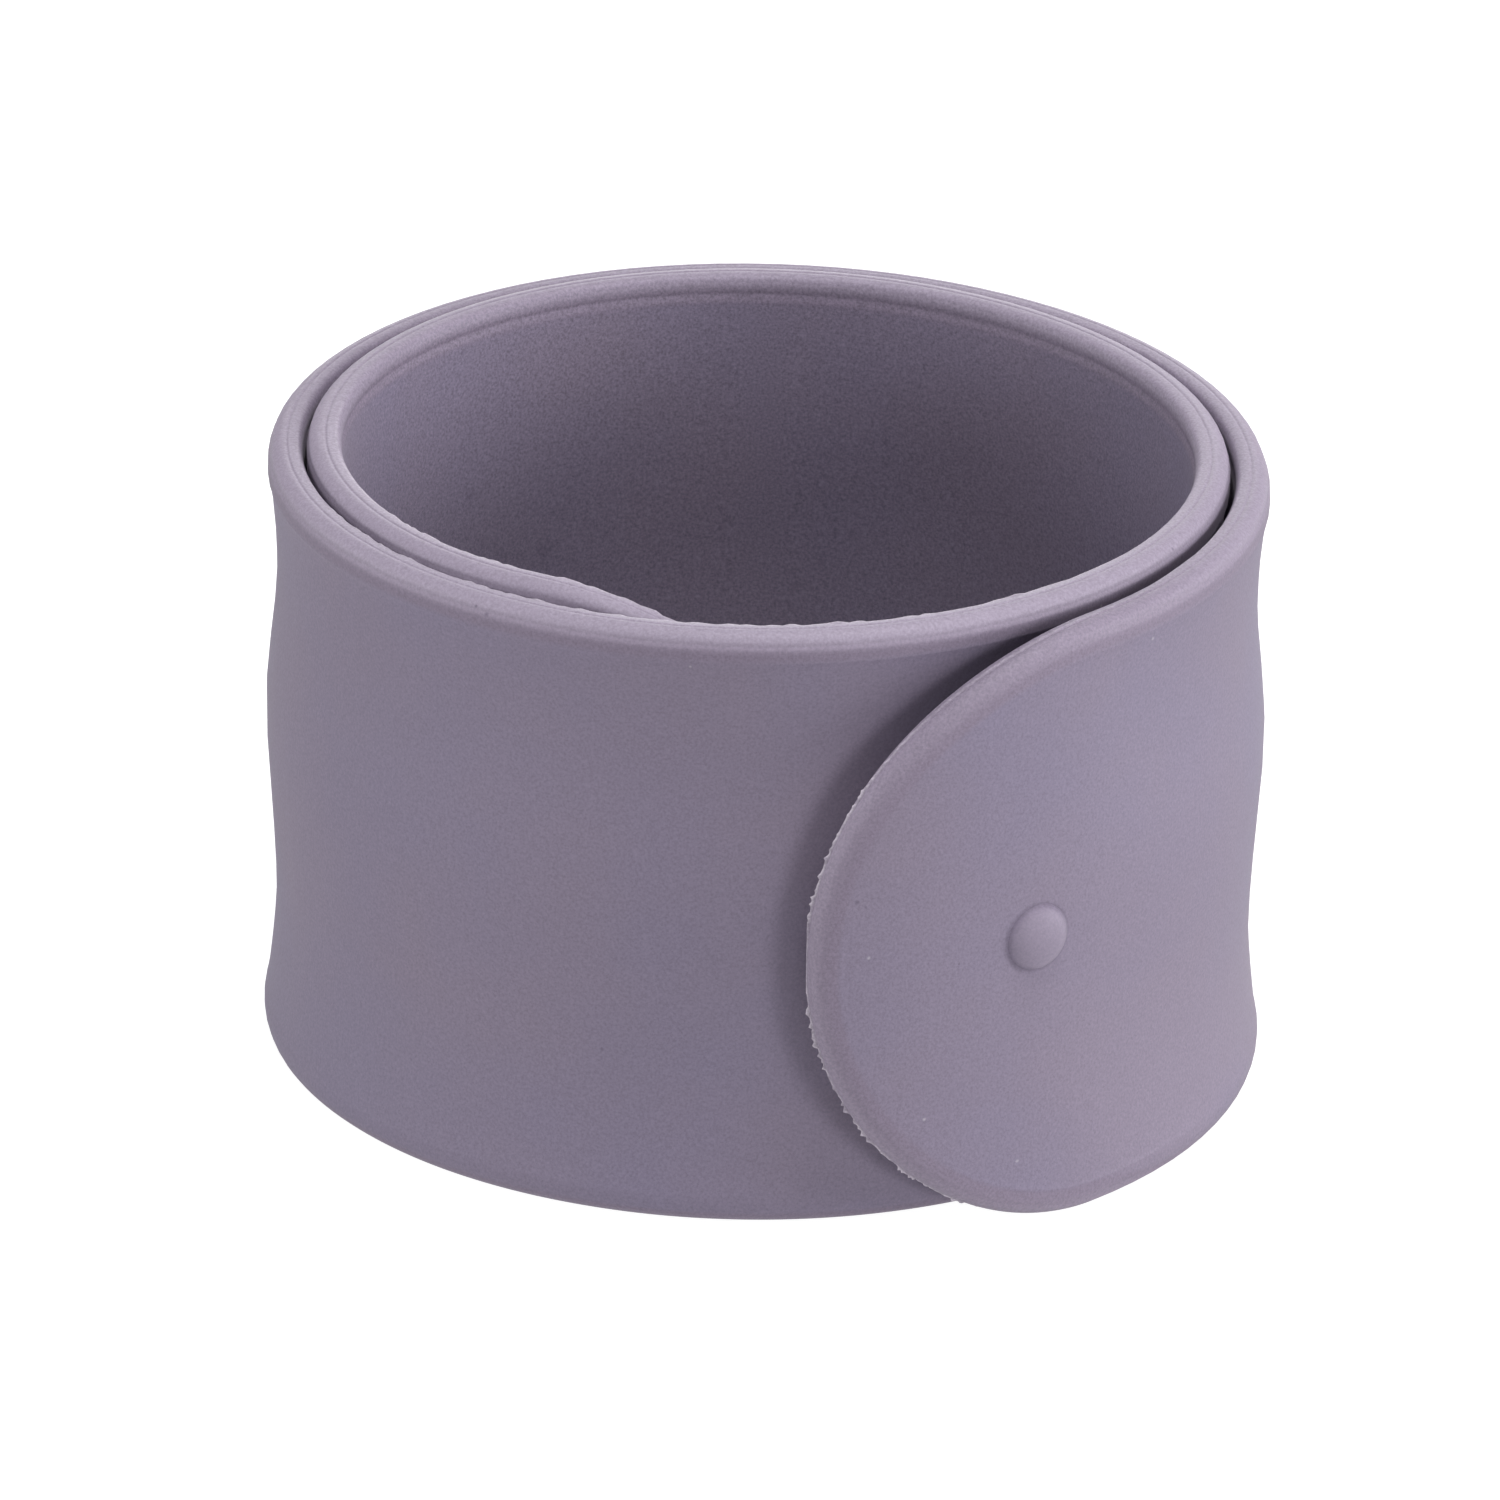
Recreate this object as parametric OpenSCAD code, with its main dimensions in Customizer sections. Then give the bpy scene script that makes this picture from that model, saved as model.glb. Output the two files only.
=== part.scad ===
// Slap bracelet snapped shut: one long silicone band, round at both ends and coiled into
// two turns round an open wrist hollow. The bistable steel strip that snaps it shut is
// sealed inside the wall. Millimetres, +Z up; the tongue of the outer end is at the front.

/* [Band] */
// Width of the band, from rim to rim
band_w = 25; // [20:0.5:30]
// Length of the band laid flat, from tip to tip
band_len = 232.5; // [215:0.5:250]
// Thickness of the band at its rims
rim_t = 1.43; // [1.25:0.02:1.75]
// Depth of the two shallow troughs along the outer face
trough_depth = 0.4; // [0.1:0.05:0.5]
// How far the middle of the wall bows out where the strip lies under it
wall_bow = 0.08; // [0:0.02:0.15]
// Length at each tip over which the outer face stays plain
plain_end = 9; // [5:0.5:12]

/* [Coil] */
// Radius of the middle of the wall on the outer turn
coil_r = 18.8; // [17:0.1:22]
// Air between one turn and the next
layer_gap = 0.1; // [0.1:0.01:0.4]
// Rise of the band over its first turn, from the outer tip
drift = 0.42; // [0:0.02:0.8]
// Direction of the outer tip, in degrees from the front towards the right
tip_a = 5.4; // [0:0.2:30]
// Angle before the outer tip at which the wall starts to step in under it
step_lead = 21.4; // [10:0.2:40]
// Angle over which the wall steps in by one layer
step_run = 170; // [120:1:210]

/* [Ends of the band] */
// How far the outer tip stands off the turn below it
spring_out = 1.22; // [0.4:0.02:2.4]
// Length of the outer end that stands off
spring_len = 32; // [25:0.5:50]
// How far the inner tip curls into the hollow
curl_in = 1.5; // [0:0.1:2.5]
// Length of the inner end that curls in
curl_len = 19; // [10:0.5:30]

/* [Rim section] */
// Height of the parting line, as a share of the thickness from the inner face
parting = 0.4; // [0.3:0.01:0.6]
// Width of the rounding of the outer face along the edge
outer_round = 0.95; // [0.5:0.05:1.6]
// Width of the rounding of the inner face along the edge
inner_round = 0.45; // [0.3:0.05:1]

/* [Stud] */
// Width of the small round stud on the tongue
stud_w = 2.7; // [2:0.1:4]
// Height of the stud above the face
stud_h = 0.5; // [0.3:0.05:0.9]
// Distance of the stud from the outer tip
stud_at = 9.26; // [7:0.02:11]

/* [Spring strip] */
// Width of the steel strip
strip_w = 14; // [10:0.5:16]
// Thickness of the steel strip
strip_t = 0.25; // [0.15:0.01:0.28]
// Silicone left beyond each end of the strip
strip_margin = 12.5; // [10:0.5:20]
// Clearance round the strip in its pocket
strip_gap = 0.05; // [0.04:0.01:0.08]

/* [Hidden] */
facet = 2;
end_step = 7.5;
pitch = rim_t + layer_gap;
strip_n = -trough_depth / 2;

// Relief of the outer face across the band. Columns: share of the width from the lower
// edge, height above the troughs as a share of the trough depth
RELIEF = [
    [0, 1], [0.04, 1], [0.08, 0.62], [0.14, 0.3], [0.19, 0.08], [0.236, 0], [0.3, 0.12], [0.38, 0.4],
    [0.47, 0.75], [0.556, 1], [0.64, 0.68], [0.72, 0.22], [0.79, 0], [0.86, 0.2], [0.92, 0.55],
    [0.96, 1], [1, 1]
];
// Bow of the whole wall across the band. Columns: share of the width from the lower edge,
// offset outwards as a share of wall_bow; the lower rim flares a little more than the middle
BOW = [[0, 1.3], [0.05, 1.15], [0.12, 0.5], [0.236, 0], [0.38, 0.3], [0.556, 1], [0.7, 0.25], [0.79, 0], [1, 0]];
// Shares of the local width at which a ring has points, on the outer and the inner face
OUTER_AT = [
    0, 0.006, 0.016, 0.038, 0.08, 0.14, 0.19, 0.236, 0.3, 0.38, 0.47, 0.556, 0.64, 0.72, 0.79, 0.86,
    0.92, 0.962, 0.984, 0.994, 1
];
INNER_AT = [0.996, 0.982, 0.9, 0.7, 0.5, 0.3, 0.1, 0.018, 0.004];

function ease(x) = let (c = min(1, max(0, x))) c * c * (3 - 2 * c);
function over(x) = min(1, max(0, x));

// Layers stepped in at direction a, counted from the outer turn
function layers_in(a) =
    let (b = a - tip_a + step_lead - 360, k = floor(b / 360)) k + ease((b - 360 * k) / step_run);
// Radius of the middle of the wall at a distance s from the outer tip, in direction a
function radius(s, a) =
    coil_r - pitch * layers_in(a)
    + spring_out * pow(1 - over(s / spring_len), 1.35)
    - curl_in * pow(over((s - band_len + curl_len) / curl_len), 2);
// Direction reached by each millimetre of the band. Columns: distance from the tip, angle
LAY = [
    for (s = 0, a = tip_a; s <= band_len + 2; a = a + 180 / PI / radius(s + 0.5, a + 1.5), s = s + 1) [s, a]
];
function turn_at(s) = lookup(s, LAY);

// Height of the band's mid-line over the outer tip: most of the rise is in the first half
// turn, where the tongue hangs low, then it levels out and the inner end climbs again
function rise(a) =
    let (u = (a - tip_a) / 360)
    drift * (
        0.9 * ease((u - 0.05) / 0.6) + 0.1 * min(u, 1)
        + 0.45 * max(0, u - 1) + 1.73 * pow(max(0, u - 1.45), 2)
    );

// Point of the coil at distance s, height w above the middle of the band, offset n outwards
function spot(s, w, n) =
    let (a = turn_at(s), r = radius(s, a) + n)
    [r * sin(a), -r * cos(a), w + rise(a)];

// Half width of a strip with round ends, from s0 to s1
function half_at(s, s0, s1, r) =
    let (d = min(s - s0, s1 - s)) d >= r ? r : sqrt(max(0, r * r - (r - d) * (r - d)));
// Distance from the outline of the band
function inset_at(s, w) =
    let (r = band_w / 2, d = min(s, band_len - s)) d >= r ? r - abs(w) : r - norm([r - d, w]);
function quarter(x) = 1 - sqrt(max(0, 1 - pow(1 - over(x), 2)));
function formed(s) = ease((min(s, band_len - s) - plain_end) / plain_end);
function relief_at(s, w) = trough_depth * formed(s) * (1 - lookup(w / band_w + 0.5, RELIEF));
function bow_at(s, w) = wall_bow * formed(s) * lookup(w / band_w + 0.5, BOW);
function outer_n(s, w) =
    rim_t / 2 + bow_at(s, w) - relief_at(s, w)
    - (1 - parting) * rim_t * quarter(inset_at(s, w) / outer_round);
function inner_n(s, w) =
    -rim_t / 2 + bow_at(s, w) + parting * rim_t * quarter(inset_at(s, w) / inner_round);

// Distances at which a strip from s0 to s1, with round ends of radius r, has rings
function stations(s0, s1, r) =
    let (
        m = ceil((s1 - s0 - 2 * r) / facet),
        near = [for (b = [end_step:end_step:89]) r * (1 - cos(b))]
    )
    concat(
        [for (d = near) s0 + d],
        [for (i = [0:m]) s0 + r + (s1 - s0 - 2 * r) * i / m],
        [for (i = [len(near) - 1:-1:0]) s1 - near[i]]
    );

function band_ring(s) =
    let (h = half_at(s, 0, band_len, band_w / 2))
    concat(
        [for (q = OUTER_AT) let (w = h * (2 * q - 1)) spot(s, w, outer_n(s, w))],
        [for (q = INNER_AT) let (w = h * (2 * q - 1)) spot(s, w, inner_n(s, w))]
    );
function strip_ring(s, grow) =
    let (
        h = half_at(s, strip_margin - grow, band_len - strip_margin + grow, strip_w / 2 + grow),
        t = strip_t / 2 + grow
    )
    [spot(s, -h, strip_n - t), spot(s, -h, strip_n + t), spot(s, h, strip_n + t), spot(s, h, strip_n - t)];

tip_n = -rim_t / 2 + parting * rim_t;
BAND = [for (s = stations(0, band_len, band_w / 2)) band_ring(s)];

// The coil stands on its lower rim, which rises with the drift, so it leans a little
lean = atan(0.913 * drift / (2 * coil_r));
low_side = 146.5;
LEAN = let (k = [-sin(low_side), cos(low_side)], c = 1 - cos(lean), s = sin(lean)) [
    [1 - c + c * k.x * k.x, c * k.x * k.y, s * k.y],
    [c * k.x * k.y, 1 - c + c * k.y * k.y, -s * k.x],
    [-s * k.y, s * k.x, 1 - c]
];
FLAT = [for (ring = BAND) for (p = ring) LEAN * p];
lo = [min([for (p = FLAT) p.x]), min([for (p = FLAT) p.y]), min([for (p = FLAT) p.z])];
hi = [max([for (p = FLAT) p.x]), max([for (p = FLAT) p.y])];
SHIFT = [-(lo.x + hi.x) / 2, -(lo.y + hi.y) / 2, -lo.z];
function placed(pts) = [for (p = pts) LEAN * p + SHIFT];

// Skin over a row of rings, closed by a point at each tip or by the flat end rings
module skin(rings, tips) {
    m = len(rings[0]);
    k = len(rings);
    body = [for (ring = rings) for (p = ring) p];
    side = [
        for (i = [0:k - 2]) for (j = [0:m - 1])
            let (a = i * m + j, b = i * m + (j + 1) % m) each [[a, b, a + m], [b, b + m, a + m]]
    ];
    last = (k - 1) * m;
    caps = len(tips) == 2
        ? [for (j = [0:m - 1]) let (j1 = (j + 1) % m) each [[k * m, j1, j], [k * m + 1, last + j, last + j1]]]
        : [[for (j = [m - 1:-1:0]) j], [for (j = [0:m - 1]) last + j]];
    polyhedron(points = placed(concat(body, tips)), faces = concat(side, caps), convexity = 12);
}

module strip_body(grow) {
    s0 = strip_margin - grow;
    s1 = band_len - strip_margin + grow;
    skin([for (s = stations(s0, s1, strip_w / 2 + grow)) strip_ring(s, grow)], []);
}

module stud() {
    cap_r = (stud_w * stud_w / 4 + stud_h * stud_h) / (2 * stud_h);
    foot = rim_t / 3;
    axis = placed([spot(stud_at, 0, rim_t / 2), spot(stud_at, 0, rim_t / 2 + 1)]);
    out = axis[1] - axis[0];
    translate(axis[0]) rotate([0, acos(out.z / norm(out)), atan2(out.y, out.x)])
        rotate_extrude($fn = 48)
            intersection() {
                translate([0, stud_h - cap_r]) circle(r = cap_r, $fn = 96);
                translate([0, -foot]) square([stud_w / 2, foot + stud_h]);
            }
}

module silicone_band() color([0.62, 0.58, 0.66]) difference() {
    union() {
        skin(BAND, [spot(0, 0, tip_n), spot(band_len, 0, tip_n)]);
        stud();
    }
    strip_body(strip_gap);
}

module spring_strip() color([0.7, 0.71, 0.73]) strip_body(0);

silicone_band();
spring_strip();
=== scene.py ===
"""Slap bracelet snapped shut: a moulded silicone band coiled in two turns, on a plain pale floor."""

import logging
import math
from dataclasses import dataclass, field
from enum import Enum

import bmesh
import bpy
from mathutils import Matrix, Vector, noise

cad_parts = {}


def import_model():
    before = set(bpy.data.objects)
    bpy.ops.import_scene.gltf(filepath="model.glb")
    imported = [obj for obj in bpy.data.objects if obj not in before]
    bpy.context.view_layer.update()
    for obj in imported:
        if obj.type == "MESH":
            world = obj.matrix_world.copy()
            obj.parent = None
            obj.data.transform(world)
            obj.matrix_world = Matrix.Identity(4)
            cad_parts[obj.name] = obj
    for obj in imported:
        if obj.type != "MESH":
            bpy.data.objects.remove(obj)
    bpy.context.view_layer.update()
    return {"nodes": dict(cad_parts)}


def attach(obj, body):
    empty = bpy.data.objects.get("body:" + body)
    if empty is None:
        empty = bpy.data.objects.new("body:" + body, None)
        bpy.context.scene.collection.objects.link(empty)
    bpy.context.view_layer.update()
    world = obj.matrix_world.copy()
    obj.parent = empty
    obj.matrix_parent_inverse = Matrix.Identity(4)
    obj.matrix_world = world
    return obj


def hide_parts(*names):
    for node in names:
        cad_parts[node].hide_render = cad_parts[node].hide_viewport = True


LOG = logging.getLogger("slap_bracelet")
MM = 0.001
# Points closer than this, in metres, are one point
MERGE = 1e-8
WHITE = (1.0, 1.0, 1.0, 1.0)


class Side(Enum):
    """The two faces of the band's wall."""

    OUTER = 1
    INNER = -1


def linear(colour: str) -> tuple[float, float, float, float]:
    """Turn an sRGB hex colour into linear RGBA.

    Args:
        colour: Six hex digits after a hash sign.

    Returns:
        Linear red, green, blue and an alpha of one.
    """
    parts = [int(colour[i : i + 2], 16) / 255 for i in (1, 3, 5)]
    rgb = [p / 12.92 if p <= 0.04045 else ((p + 0.055) / 1.055) ** 2.4 for p in parts]
    return (rgb[0], rgb[1], rgb[2], 1.0)


def ease(x: float) -> float:
    """Smooth step from 0 to 1, flat at both ends."""
    c = min(1.0, max(0.0, x))
    return c * c * (3 - 2 * c)


def bell(x: float, centre: float, width: float) -> float:
    """A smooth hump of height 1 at a centre, about as wide as the width."""
    return math.exp(-(((x - centre) / width) ** 2))


def lookup(x: float, rows: tuple[tuple[float, float], ...]) -> float:
    """Read a table of two columns, straight between its rows.

    Args:
        x: Value to find in the first column.
        rows: Rows of (first column, second column), rising in the first.

    Returns:
        The value of the second column at x, held past both ends.
    """
    if x <= rows[0][0]:
        return rows[0][1]
    for (x0, y0), (x1, y1) in zip(rows, rows[1:]):
        if x <= x1:
            return y0 + (y1 - y0) * (x - x0) / (x1 - x0)
    return rows[-1][1]


@dataclass
class Coil:
    """The way the band winds, in millimetres and degrees: as the solid parts have it, but for a small
    lift at the back."""

    band_w: float = 25.0
    band_len: float = 232.5
    rim_t: float = 1.43
    coil_r: float = 18.8
    layer_gap: float = 0.1
    tip_a: float = 5.4
    step_lead: float = 21.4
    step_run: float = 170.0
    spring_out: float = 1.22
    spring_len: float = 32.0
    # Power by which the tongue's stand-off falls away along its length
    spring_power: float = 1.35
    curl_in: float = 1.5
    curl_len: float = 19.0
    # Rise over the first turn; the places and widths below are in turns from the outer tip
    drift: float = 0.42
    # Share of the rise that is eased, its start and its width, and the share that is even
    eased_share: float = 0.9
    eased_from: float = 0.05
    eased_over: float = 0.6
    even_share: float = 0.1
    # Rise per turn after the first, and of the inner end past a place, as shares of the drift
    second_rise: float = 0.45
    end_rise: float = 1.73
    end_from: float = 1.45
    # How far the inner turn rides up behind the outer one at the back, where and how widely
    back_lift: float = 0.2
    lift_at: float = 1.58
    lift_over: float = 0.22
    # The coil leans by this share of the slope of its rise, towards a direction
    lean_share: float = 0.913
    low_side: float = 146.5
    shift: tuple[float, float, float] = (-0.329378, 1.16565, 12.2899)
    # Step along the band, length walked past its end, and the turn expected per millimetre
    step: float = 0.25
    past_end: float = 2.0
    turn_per_mm: float = 1.5
    angles: list[float] = field(default_factory=list)

    def __post_init__(self) -> None:
        """Walk along the band once and keep the direction reached at each step."""
        a = self.tip_a
        for i in range(int((self.band_len + self.past_end) / self.step)):
            self.angles.append(a)
            s = (i + 0.5) * self.step
            a += math.degrees(self.step / self.radius(s, a + self.step * self.turn_per_mm))

    @property
    def lean(self) -> Matrix:
        """The small turn that sets the coil's rising rim on the floor.

        Returns:
            The turn as a matrix.
        """
        angle = math.atan(self.lean_share * self.drift / (2 * self.coil_r))
        side = math.radians(self.low_side)
        return Matrix.Rotation(angle, 3, Vector((-math.sin(side), math.cos(side), 0)))

    def radius(self, s: float, a: float) -> float:
        """Radius of the middle of the wall.

        Args:
            s: Distance along the band from the outer tip.
            a: Direction from the front towards the right.

        Returns:
            The radius in millimetres.
        """
        b = a - self.tip_a + self.step_lead - 360
        k = math.floor(b / 360)
        r = self.coil_r - (self.rim_t + self.layer_gap) * (k + ease((b - 360 * k) / self.step_run))
        r += self.spring_out * max(0.0, 1 - s / self.spring_len) ** self.spring_power
        return r - self.curl_in * max(0.0, (s - self.band_len + self.curl_len) / self.curl_len) ** 2

    def angle(self, s: float) -> float:
        """Direction of the band at a distance from the outer tip.

        Args:
            s: Distance along the band.

        Returns:
            The direction in degrees, from the front towards the right.
        """
        x = max(0.0, s) / self.step
        i = min(len(self.angles) - 2, int(x))
        return self.angles[i] + (self.angles[i + 1] - self.angles[i]) * (x - i)

    def height(self, a: float) -> float:
        """Height of the band's mid-line over that of the outer tip.

        Args:
            a: Direction from the front towards the right, in degrees.

        Returns:
            The height in millimetres.
        """
        u = (a - self.tip_a) / 360
        first = self.eased_share * ease((u - self.eased_from) / self.eased_over)
        first += self.even_share * min(u, 1.0)
        later = self.second_rise * max(0.0, u - 1)
        end = self.end_rise * max(0.0, u - self.end_from) ** 2
        return self.drift * (first + later + end) + self.back_lift * bell(u, self.lift_at, self.lift_over)

    def spot(self, s: float, w: float, n: float) -> Vector:
        """Place a point of the flat band on the coil.

        Args:
            s: Distance along the band from the outer tip.
            w: Height over the middle of the band.
            n: Offset outwards from the middle of the wall.

        Returns:
            The point in metres, in the part's frame.
        """
        a = self.angle(s)
        r = self.radius(s, a) + n
        t = math.radians(a)
        flat = Vector((r * math.sin(t), -r * math.cos(t), w + self.height(a)))
        return (self.lean @ flat + Vector(self.shift)) * MM


@dataclass
class NodeTree:
    """A material's or a world's node tree, with short ways to add to it."""

    tree: bpy.types.NodeTree

    def add(
        self, kind: str, links: dict[str | int, bpy.types.NodeSocket] | None = None, **values
    ) -> bpy.types.Node:
        """Add a node.

        Args:
            kind: Blender's name for the node type.
            links: Input name or number, and the output socket that feeds it.
            **values: Node settings, or input values where the name starts with in_.

        Returns:
            The new node.
        """
        node = self.tree.nodes.new(kind)
        for key, value in values.items():
            if key.startswith("in_"):
                name = key[3:]
                slot = int(name) if name.isdigit() else name.replace("_", " ")
                node.inputs[slot].default_value = value
            else:
                setattr(node, key, value)
        for key, socket in (links or {}).items():
            self.tree.links.new(socket, node.inputs[key])
        return node

    def attribute(self, name: str) -> bpy.types.NodeSocket:
        """Read a float layer of the mesh."""
        return self.add("ShaderNodeAttribute", attribute_name=name).outputs["Fac"]

    def ramp(
        self, value: bpy.types.NodeSocket, span: tuple[float, float],
        start: float | bpy.types.NodeSocket, end: float,
    ) -> bpy.types.NodeSocket:
        """Map a value straight across a span, held past both its ends.

        Args:
            value: Socket to map.
            span: Values at which the result is the start and the end.
            start: First result, a number or a socket.
            end: Last result.

        Returns:
            Socket with the result.
        """
        if isinstance(start, bpy.types.NodeSocket):
            node = self.add("ShaderNodeMapRange", {"Value": value, 3: start})
        else:
            node = self.add("ShaderNodeMapRange", {"Value": value}, in_3=start)
        for slot, number in (1, span[0]), (2, span[1]), (4, end):
            node.inputs[slot].default_value = number
        return node.outputs["Result"]

    def tint(
        self, base: bpy.types.NodeSocket, share: bpy.types.NodeSocket, colour: str
    ) -> bpy.types.NodeSocket:
        """Mix a colour over the colour so far.

        Args:
            base: Colour so far.
            share: Socket with the share of the new colour.
            colour: The new colour, in hex.

        Returns:
            Socket with the mixed colour.
        """
        return self.add(
            "ShaderNodeMix", {"Factor": share, 6: base}, data_type="RGBA", in_7=linear(colour)
        ).outputs[2]

    def away(
        self, place: bpy.types.NodeSocket, centre: tuple[float, float, float]
    ) -> bpy.types.NodeSocket:
        """Distance of a place from a centre.

        Args:
            place: Socket with the place.
            centre: The centre, in the same measure.

        Returns:
            Socket with the distance.
        """
        return self.add(
            "ShaderNodeVectorMath", {0: place}, operation="DISTANCE", in_1=centre
        ).outputs["Value"]


def blank_material(name: str) -> tuple[bpy.types.Material, NodeTree]:
    """Make a material with nothing in its node tree.

    Args:
        name: The material's name.

    Returns:
        The material and its node tree.
    """
    material = bpy.data.materials.new(name)
    material.use_nodes = True
    material.node_tree.nodes.clear()
    return material, NodeTree(material.node_tree)


@dataclass(frozen=True)
class Mark:
    """A small fleck or smudge on the band, by its place on the flat band in millimetres."""

    s: float
    w: float
    size: float
    dark: bool
    strength: float = 0.6


@dataclass(frozen=True)
class MouldedSilicone:
    """Platinum-cured silicone rubber, compression moulded in a blasted mould: a soft mauve grey that
    looks dry and even, with a broad weak sheen, a fine tooth and a few flecks of lint and flash."""

    name: str = "moulded_silicone"
    body: str = "#8A8198"
    warm: str = "#8D8296"
    border: str = "#8B7F93"
    # Colour of the painted highlight on the rim's crest and on the stud's top
    rim: str = "#A89DB0"
    flash: str = "#CFC6D3"
    # Colour of the dark flecks, and of the painted shade round the stud's foot
    grime_and_shade: str = "#5A5066"
    lint: str = "#C9C3CE"
    roughness: float = 0.58
    ior: float = 1.41
    # Cloudy patches: times per metre, and the noise at which they are all cool and all warm
    cloud_scale: float = 85.0
    cloud_span: tuple[float, float] = (0.35, 0.65)
    # Distances in from the edge over which the border and the painted highlight on the crest fade out, in
    # millimetres
    border_fade: tuple[float, float] = (1.02, 1.24)
    crest_highlight_fade: tuple[float, float] = (0.3, 0.85)
    # Torn flash: width in millimetres, times per metre, and the noise and shares of its tufts
    torn_fade: tuple[float, float] = (0.03, 0.1)
    tuft_scale: float = 2600.0
    tuft_span: tuple[float, float] = (0.42, 0.56)
    tuft_least: float = 0.35
    # Grain: times per metre, its noise, and its swing on the inner and the outer face
    grain_scale: float = 8500.0
    grain_span: tuple[float, float] = (0.25, 0.75)
    grain_inner: float = 0.33
    grain_outer: float = 0.16
    bump_strength: float = 0.5
    bump_depth: float = 0.00002
    # Marks: times per metre of their ragged edge, its depth, and their fade, as shares of their size
    ragged_scale: float = 6000.0
    ragged: float = 0.8
    mark_fade: tuple[float, float] = (0.4, 1.2)
    marks: tuple[Mark, ...] = ()
    # Stud: its place and width, the painted highlight on its top and the painted shade line at its foot,
    # in millimetres
    stud_s: float = 9.26
    stud_w: float = 2.7
    stud_fade: tuple[float, float] = (1.1, 1.35)
    foot_off: float = 0.02
    foot_fade: tuple[float, float] = (0.02, 0.16)
    stud_share: float = 0.3

    def build(self) -> bpy.types.Material:
        """Make the material.

        Returns:
            The node material.
        """
        material, t = blank_material(self.name)
        place = t.add("ShaderNodeTexCoord").outputs["Object"]
        flat = t.add("ShaderNodeUVMap", uv_map="flat").outputs["UV"]
        seam = t.attribute("seam_mm")
        # Blasted tooth of the mould, 0.05 mm grit drawn as 0.12 mm so that it shows
        grain = t.add(
            "ShaderNodeTexNoise", {"Vector": place},
            in_Scale=self.grain_scale, in_Detail=2.0, in_Roughness=0.7,
        ).outputs["Fac"]
        base = self.mottle(t, place)
        base = self.paint_rim_and_highlight(t, place, seam, base)
        base = self.speckle(t, grain, seam, base)
        for mark in self.marks:
            base = self.stain(t, flat, base, mark)
        base = self.paint_stud_light_and_shade(t, flat, base)
        bump = t.add(
            "ShaderNodeBump", {"Height": grain},
            in_Strength=self.bump_strength, in_Distance=self.bump_depth,
        )
        shader = t.add(
            "ShaderNodeBsdfPrincipled", {"Base Color": base, "Normal": bump.outputs["Normal"]},
            in_Roughness=self.roughness, in_IOR=self.ior, in_Sheen_Weight=0.08, in_Sheen_Roughness=0.5,
        )
        t.add("ShaderNodeOutputMaterial", {"Surface": shader.outputs["BSDF"]})
        return material

    def mottle(self, t: NodeTree, place: bpy.types.NodeSocket) -> bpy.types.NodeSocket:
        """Batch variation: cloudy patches about 12 mm across, between a cooler and a warmer mauve.

        Args:
            t: The material's node tree.
            place: Socket with the place in the part's frame, in metres.

        Returns:
            The colour of the bare rubber.
        """
        cloud = t.add(
            "ShaderNodeTexNoise", {"Vector": place},
            in_Scale=self.cloud_scale, in_Detail=3.0, in_Roughness=0.55,
        )
        tone = t.ramp(cloud.outputs["Fac"], self.cloud_span, 0.0, 1.0)
        return t.add(
            "ShaderNodeMix", {"Factor": tone}, data_type="RGBA",
            in_6=linear(self.body), in_7=linear(self.warm),
        ).outputs[2]

    def paint_rim_and_highlight(
        self, t: NodeTree, place: bpy.types.NodeSocket, seam: bpy.types.NodeSocket,
        base: bpy.types.NodeSocket,
    ) -> bpy.types.NodeSocket:
        """Colour the rim: its border, the painted highlight on its crest and the torn flash on the
        parting line.

        Args:
            t: The material's node tree.
            place: Socket with the place in the part's frame, in metres.
            seam: Socket with the distance from the parting line, in millimetres.
            base: Colour so far.

        Returns:
            The colour with the rim in it.
        """
        edge = t.attribute("edge_mm")
        # The rolled border is a shade warmer, and its crest is painted paler as a highlight
        base = t.tint(base, t.ramp(edge, self.border_fade, 1.0, 0.0), self.border)
        base = t.tint(base, t.ramp(edge, self.crest_highlight_fade, t.attribute("crest_highlight_share"), 0.0), self.rim)
        # Torn flash along the parting line scatters more light and looks whitish
        off = t.add("ShaderNodeMath", {0: seam}, operation="ABSOLUTE").outputs[0]
        tufts = t.add(
            "ShaderNodeTexNoise", {"Vector": place}, in_Scale=self.tuft_scale, in_Detail=2.0
        ).outputs["Fac"]
        tuft = t.ramp(tufts, self.tuft_span, self.tuft_least, 1.0)
        most = t.add("ShaderNodeMath", {0: t.attribute("torn_share"), 1: tuft}, operation="MULTIPLY")
        return t.tint(base, t.ramp(off, self.torn_fade, most.outputs[0], 0.0), self.flash)

    def speckle(
        self, t: NodeTree, grain: bpy.types.NodeSocket, seam: bpy.types.NodeSocket,
        base: bpy.types.NodeSocket,
    ) -> bpy.types.NodeSocket:
        """Lighten and darken the colour with the grain.

        Args:
            t: The material's node tree.
            grain: Socket with the grain's noise.
            seam: Socket with the distance from the parting line, below zero on the inner face.
            base: Colour so far.

        Returns:
            The colour with the grain in it.
        """
        swing = t.ramp(grain, self.grain_span, -1.0, 1.0)
        # The core side of the mould is coarser, so the inner face looks more speckled
        coarse = t.ramp(seam, (-1.0, 1.0), self.grain_inner, self.grain_outer)
        fleck = t.add(
            "ShaderNodeMath", {0: swing, 1: coarse}, operation="MULTIPLY_ADD", in_2=1.0
        ).outputs[0]
        return t.add("ShaderNodeVectorMath", {0: base, 1: fleck}, operation="MULTIPLY").outputs["Vector"]

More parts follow.
